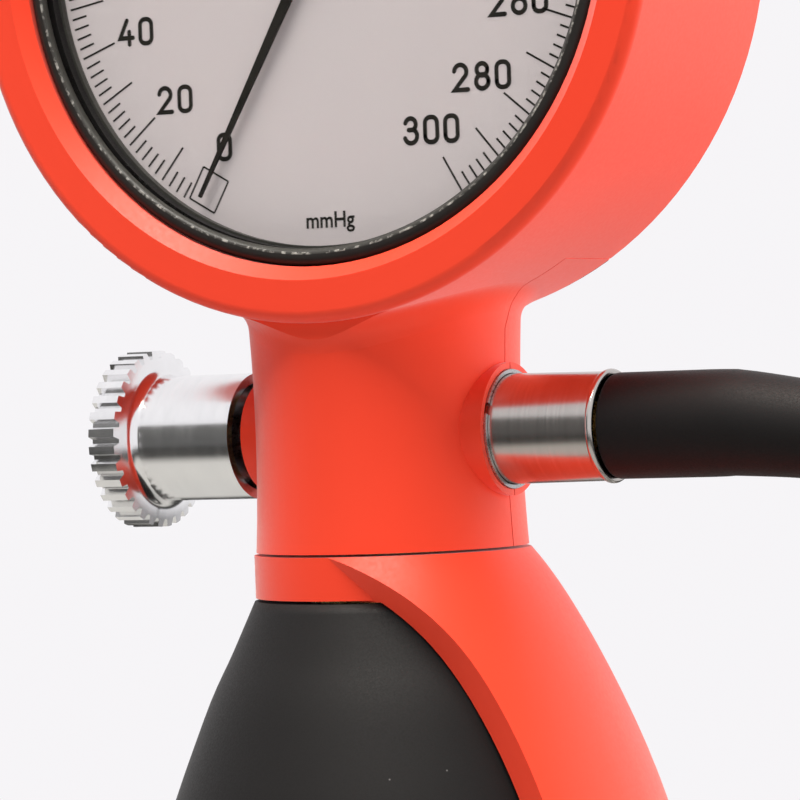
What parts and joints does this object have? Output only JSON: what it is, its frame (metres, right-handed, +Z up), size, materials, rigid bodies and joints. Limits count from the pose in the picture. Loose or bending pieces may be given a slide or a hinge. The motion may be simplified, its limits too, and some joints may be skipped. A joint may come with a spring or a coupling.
{
  "type": "aneroid sphygmomanometer",
  "caption": "Palm-held aneroid blood pressure gauge with dial head, squeeze bulb, release valve, swivelling spoon and hose.",
  "frame": {"origin": "on the table, under the axis of the neck and the bulb", "axes": "+Z up along the neck and the bulb, -Y towards the reader of the dial, +X towards the hose"},
  "size_m": [0.149, 0.1388, 0.1887],
  "materials": {
    "case_orange": "satin moulded ABS",
    "spoon_orange": "satin moulded nylon",
    "cover_black": "fine grained",
    "bezel_black": "dark satin lacquer",
    "cup_metal": "turned",
    "crystal_clear": "clear and polished",
    "dial_paint": "pale warm grey, matt",
    "pointer_black": "matt black",
    "movement_brass": "stamped and polished",
    "steel": "ground",
    "capsule_bronze": "pressed sheet",
    "manifold_metal": "machined",
    "fitting_brass": "turned",
    "chrome": "polished",
    "ferrule_steel": "brushed round",
    "rubber_black": "matt",
    "connector_plastic": "smooth",
    "filter_mesh": "perforated"
  },
  "bodies": {
    "case": {"front_case_shell": "case_orange", "rear_neck_cover": "case_orange", "rear_case_cover": "cover_black", "rear_cover_screws": "steel", "neck_cover_screws": "steel", "gauge_cup": "cup_metal", "bezel_ring": "bezel_black", "crystal": "crystal_clear", "crystal_gasket": "rubber_black", "dial_retaining_ring": "bezel_black", "dial_plate": "dial_paint", "movement_base_plate": "movement_brass", "base_plate_screws": "steel", "movement_top_plate": "movement_brass", "movement_pillars": "movement_brass", "movement_screws": "steel", "hairspring": "capsule_bronze", "hairspring_stud": "movement_brass", "capsule_front_half": "capsule_bronze", "capsule_rear_half": "capsule_bronze", "gauge_socket": "fitting_brass", "socket_screws": "steel", "gauge_stem": "fitting_brass", "stem_o_ring": "rubber_black", "air_manifold": "manifold_metal", "valve_bush": "fitting_brass", "hose_nipple": "fitting_brass", "snap_ring": "steel", "ferrule": "ferrule_steel", "hose_end": "rubber_black", "hose_drop": "rubber_black", "hose_coil": "rubber_black", "cuff_connector": "connector_plastic", "bulb_fitting": "fitting_brass", "outlet_valve_seat": "fitting_brass", "bulb": "rubber_black", "inlet_valve_body": "fitting_brass", "inlet_valve_cap": "fitting_brass", "inlet_dust_filter": "filter_mesh"},
    "pointer": {"pointer": "pointer_black", "pointer_bush": "movement_brass", "pinion_arbor": "steel", "hairspring_collet": "movement_brass"},
    "sector": {"sector_gear": "movement_brass", "sector_arbor": "steel"},
    "rocking_shaft": {"rocking_shaft": "steel"},
    "capsule_boss": {"capsule_boss": "movement_brass"},
    "valve_spindle": {"valve_spindle": "steel"},
    "valve_knob": {"valve_knob": "chrome"},
    "spoon": {"spoon": "spoon_orange"},
    "outlet_valve_disc": {"outlet_valve_disc": "rubber_black"},
    "inlet_valve_ball": {"inlet_valve_ball": "steel"}
  },
  "joints": [
    {"name": "capsule_boss_push", "type": "slide", "parent": "case", "child": "capsule_boss", "axis": [0, -1, 0], "range_m": [0, 0.001]},
    {"name": "pointer_spin", "type": "hinge", "parent": "case", "child": "pointer", "pos_m": [0, -0.005, 0.1526], "axis": [0, 1, 0], "range_deg": [0, 300], "stiffness_Nm_per_rad": 0.00001, "springref_deg": -57.3},
    {"name": "sector_swing", "type": "hinge", "parent": "case", "child": "sector", "pos_m": [-0.0055, -0.0043, 0.13512], "axis": [0, 1, 0], "range_deg": [-26.8, 0]},
    {"name": "rocking_swing", "type": "hinge", "parent": "case", "child": "rocking_shaft", "pos_m": [-0.0055, 0.0019, 0.145], "axis": [0, 0, -1], "range_deg": [0, 11.51]},
    {"name": "valve_screw", "type": "slide", "parent": "case", "child": "valve_spindle", "axis": [-1, 0, 0], "range_m": [0, 0.0012]},
    {"name": "valve_knob_turn", "type": "hinge", "parent": "valve_spindle", "child": "valve_knob", "pos_m": [-0.0266, 0, 0.106], "axis": [-1, 0, 0], "range_deg": [0, 540]},
    {"name": "spoon_swivel", "type": "hinge", "parent": "case", "child": "spoon", "pos_m": [0, 0, 0.0925], "axis": [0, 0, 1], "range_deg": [-180, 180]},
    {"name": "outlet_valve_lift", "type": "slide", "parent": "case", "child": "outlet_valve_disc", "axis": [0, 0, 1], "range_m": [0, 0.0007]},
    {"name": "inlet_valve_lift", "type": "slide", "parent": "case", "child": "inlet_valve_ball", "axis": [0, 0, 1], "range_m": [0, 0.0008]}
  ],
  "couplings": [
    {"joint": "pointer_spin", "follows": "capsule_boss_push", "rad_per_m": 5236},
    {"joint": "sector_swing", "follows": "capsule_boss_push", "rad_per_m": -467.5},
    {"joint": "rocking_swing", "follows": "capsule_boss_push", "rad_per_m": 200.71},
    {"joint": "valve_knob_turn", "follows": "valve_screw", "rad_per_m": 7854}
  ]
}
